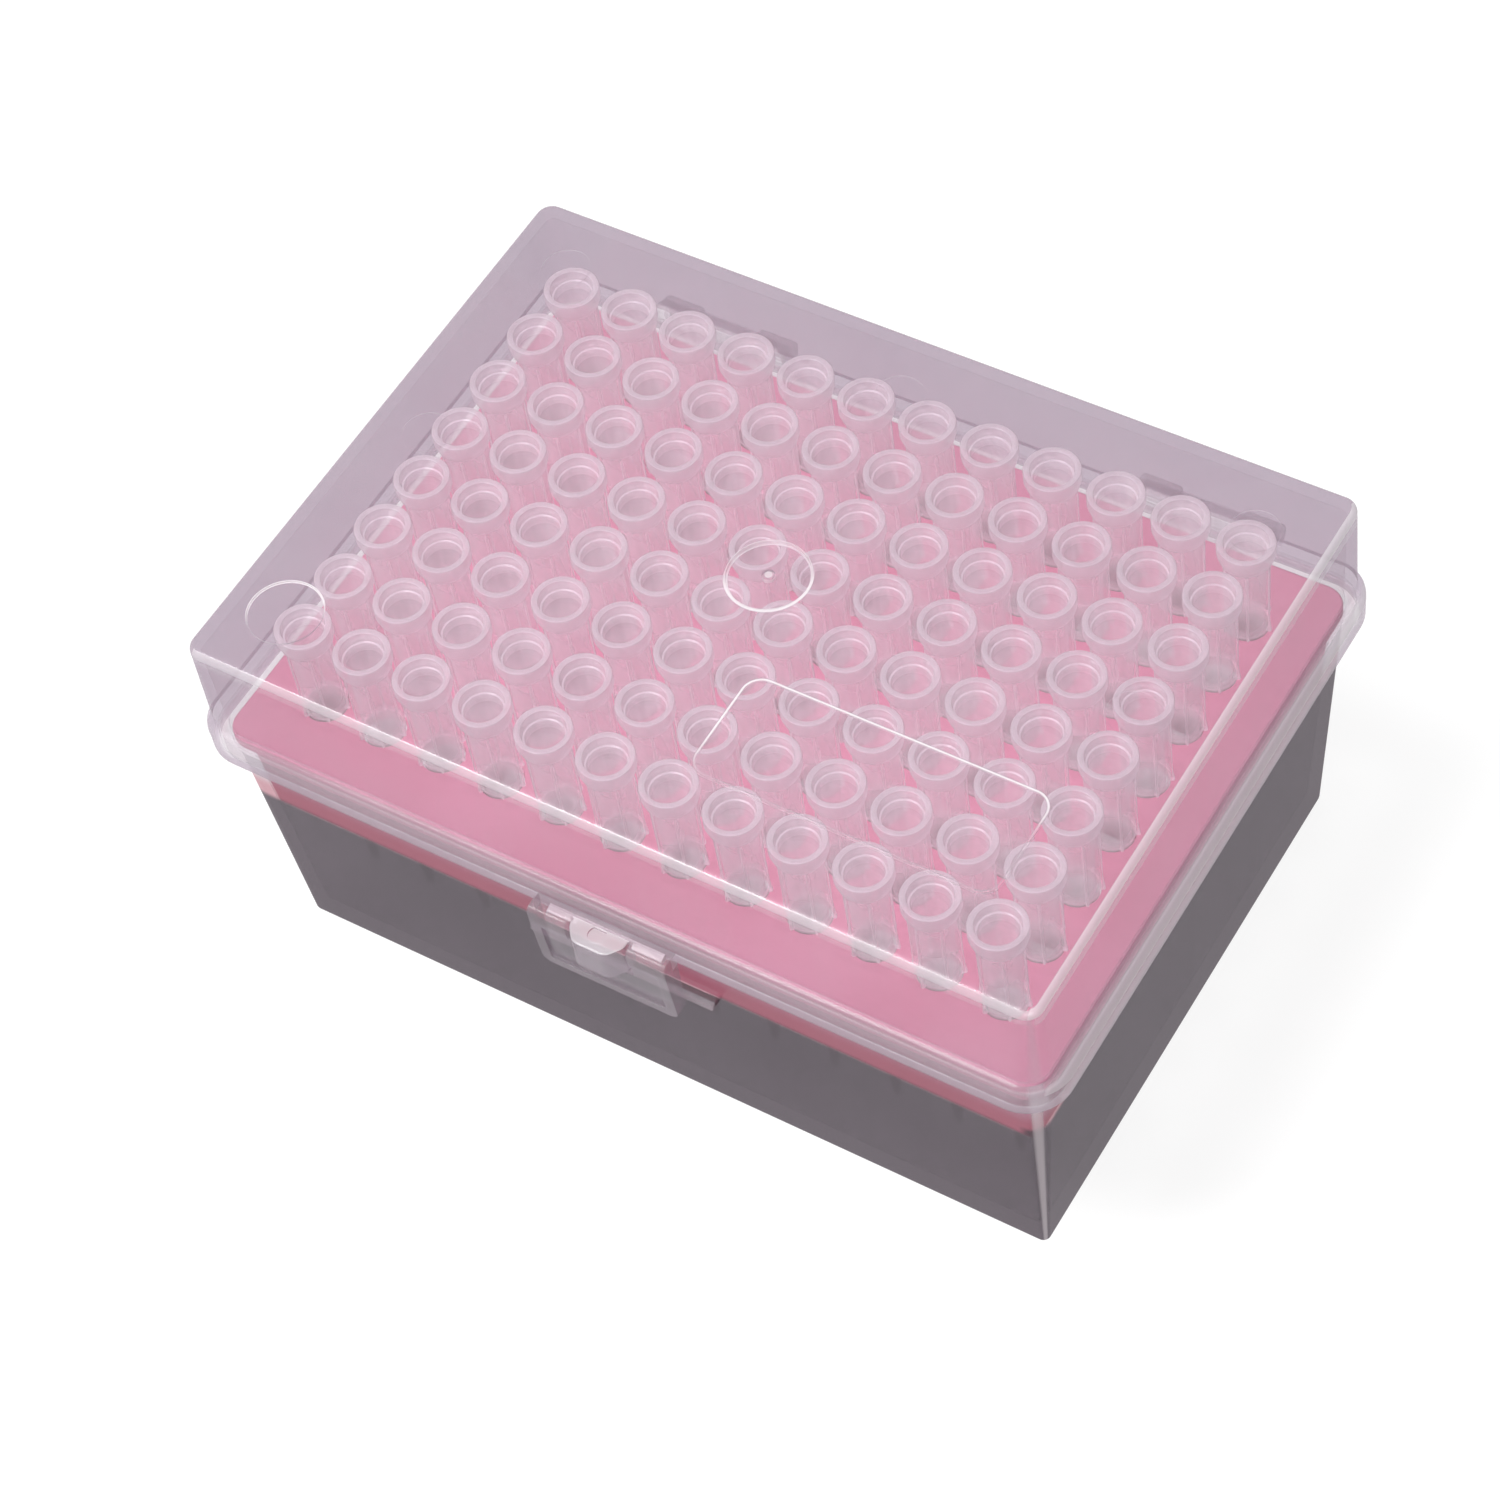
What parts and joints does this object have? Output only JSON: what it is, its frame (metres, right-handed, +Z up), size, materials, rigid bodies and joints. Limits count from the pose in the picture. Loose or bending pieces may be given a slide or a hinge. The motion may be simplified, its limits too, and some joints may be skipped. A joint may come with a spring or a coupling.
{
  "type": "box of pipette tips",
  "caption": "Hinged-lid laboratory box with a drop-in perforated rack that holds disposable pipette tips upright on a square grid.",
  "frame": {"origin": "centre of the base's flat underside, on the surface it stands on", "axes": "+X along the long side, -Y towards the latch, +Y towards the hinges, +Z up out of the lid"},
  "size_m": [0.124, 0.0958, 0.0602],
  "materials": {
    "base": "clear smoke-grey moulded plastic, glossy",
    "rack": "satin pink moulded plastic",
    "lid": "milky translucent moulded plastic, glossy",
    "tip": "thin milky translucent plastic, satin gloss"
  },
  "bodies": {
    "base": {"base_box": "base", "tip_rack": "rack", "tip_A1": "tip", "tip_B1": "tip", "tip_C1": "tip", "tip_D1": "tip", "tip_E1": "tip", "tip_F1": "tip", "tip_G1": "tip", "tip_H1": "tip", "tip_A2": "tip", "tip_B2": "tip", "tip_C2": "tip", "tip_D2": "tip", "tip_E2": "tip", "tip_F2": "tip", "tip_G2": "tip", "tip_H2": "tip", "tip_A3": "tip", "tip_B3": "tip", "tip_C3": "tip", "tip_D3": "tip", "tip_E3": "tip", "tip_F3": "tip", "tip_G3": "tip", "tip_H3": "tip", "tip_A4": "tip", "tip_B4": "tip", "tip_C4": "tip", "tip_D4": "tip", "tip_E4": "tip", "tip_F4": "tip", "tip_G4": "tip", "tip_H4": "tip", "tip_A5": "tip", "tip_B5": "tip", "tip_C5": "tip", "tip_D5": "tip", "tip_E5": "tip", "tip_F5": "tip", "tip_G5": "tip", "tip_H5": "tip", "tip_A6": "tip", "tip_B6": "tip", "tip_C6": "tip", "tip_D6": "tip", "tip_E6": "tip", "tip_F6": "tip", "tip_G6": "tip", "tip_H6": "tip", "tip_A7": "tip", "tip_B7": "tip", "tip_C7": "tip", "tip_D7": "tip", "tip_E7": "tip", "tip_F7": "tip", "tip_G7": "tip", "tip_H7": "tip"},
    "lid": {"lid": "lid"}
  },
  "joints": [
    {"name": "lid_hinge", "type": "hinge", "parent": "base", "child": "lid", "pos_m": [0, 0.0462, 0.0404], "axis": [-1, 0, 0], "range_deg": [0, 105]}
  ]
}
